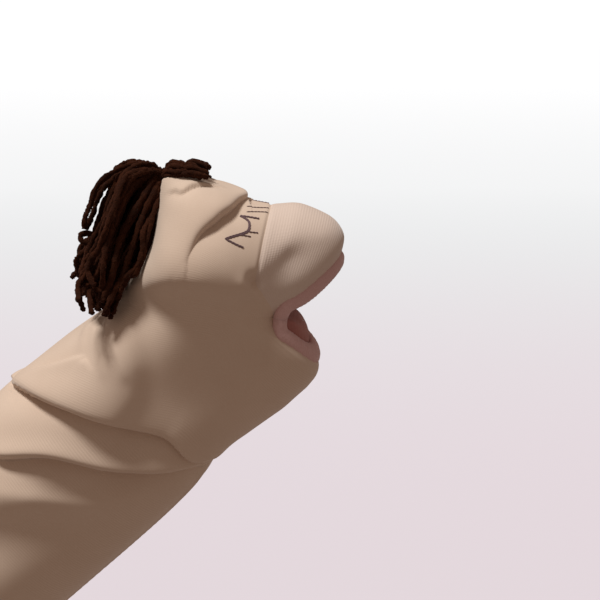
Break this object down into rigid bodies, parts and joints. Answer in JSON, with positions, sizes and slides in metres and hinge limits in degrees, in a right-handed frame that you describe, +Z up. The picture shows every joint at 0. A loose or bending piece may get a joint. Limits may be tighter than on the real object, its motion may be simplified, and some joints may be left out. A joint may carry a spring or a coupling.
{
  "type": "mouth puppet",
  "caption": "Stuffed cloth baby's head on an arm-length sleeve, worked by the hand inside: the mouth opens, the head nods and turns, yarn hair swings.",
  "frame": {"origin": "centre of the cuff's arm opening, in the plane of its edge", "axes": "+X forward, the way the face looks, +Y the puppet's left, +Z up; the arm rises 42.5 degrees from +X"},
  "size_m": [0.2861, 0.116, 0.3014],
  "materials": {
    "knit_skin": "fine cotton knit, peach",
    "lip_cloth": "mauve jersey",
    "mouth_cloth": "dark mauve jersey",
    "mouth_board": "grey board",
    "pocket_cloth": "plain cotton",
    "fibre_fill": "loose polyester fibre",
    "eye_thread": "stranded cotton thread",
    "hair_yarn": "dark brown chenille yarn"
  },
  "bodies": {
    "sleeve": {"cuff_hem": "knit_skin", "sleeve_right_panel": "knit_skin", "sleeve_left_panel": "knit_skin", "sleeve_middle": "knit_skin"},
    "forearm": {"forearm_right_panel": "knit_skin", "forearm_left_panel": "knit_skin", "neck_gusset": "knit_skin"},
    "head": {"head_back_panel": "knit_skin", "forehead_panel": "knit_skin", "eye_panel": "knit_skin", "cheek_right_panel": "knit_skin", "cheek_left_panel": "knit_skin", "snout_panel": "knit_skin", "throat_panel": "knit_skin", "upper_lip": "lip_cloth", "lip_corners": "lip_cloth", "palate_plate": "mouth_board", "palate_lining": "mouth_cloth", "mouth_fold": "mouth_cloth", "finger_pocket": "pocket_cloth", "forehead_stuffing": "fibre_fill", "snout_stuffing": "fibre_fill", "cheek_right_stuffing": "fibre_fill", "cheek_left_stuffing": "fibre_fill", "right_eye": "eye_thread", "left_eye": "eye_thread", "hair_knot": "hair_yarn"},
    "jaw": {"chin_panel": "knit_skin", "lower_lip": "lip_cloth", "jaw_plate": "mouth_board", "jaw_lining": "mouth_cloth", "thumb_pocket": "pocket_cloth", "chin_stuffing": "fibre_fill"},
    "hair_back": {"hair_back": "hair_yarn"},
    "hair_fringe": {"hair_fringe": "hair_yarn"}
  },
  "joints": [
    {"name": "head_turn", "type": "hinge", "parent": "sleeve", "child": "forearm", "pos_m": [0.07004, 0, 0.06418], "axis": [0.7373, 0, 0.6756], "range_deg": [-30, 30], "deforming": ["sleeve_middle"]},
    {"name": "head_nod", "type": "hinge", "parent": "forearm", "child": "head", "pos_m": [0.14008, 0, 0.12836], "axis": [0, 1, 0], "range_deg": [-15, 30], "deforming": ["neck_gusset"]},
    {"name": "jaw_close", "type": "hinge", "parent": "head", "child": "jaw", "pos_m": [0.20846, 0, 0.17067], "axis": [0, -1, 0], "range_deg": [-10, 60], "deforming": ["throat_panel", "lip_corners", "mouth_fold"]},
    {"name": "hair_back_swing", "type": "hinge", "parent": "head", "child": "hair_back", "pos_m": [0.1425, 0, 0.247], "axis": [0, 1, 0], "range_deg": [-3, 35]},
    {"name": "hair_fringe_lift", "type": "hinge", "parent": "head", "child": "hair_fringe", "pos_m": [0.1425, 0, 0.247], "axis": [0, -1, 0], "range_deg": [0, 40]}
  ]
}
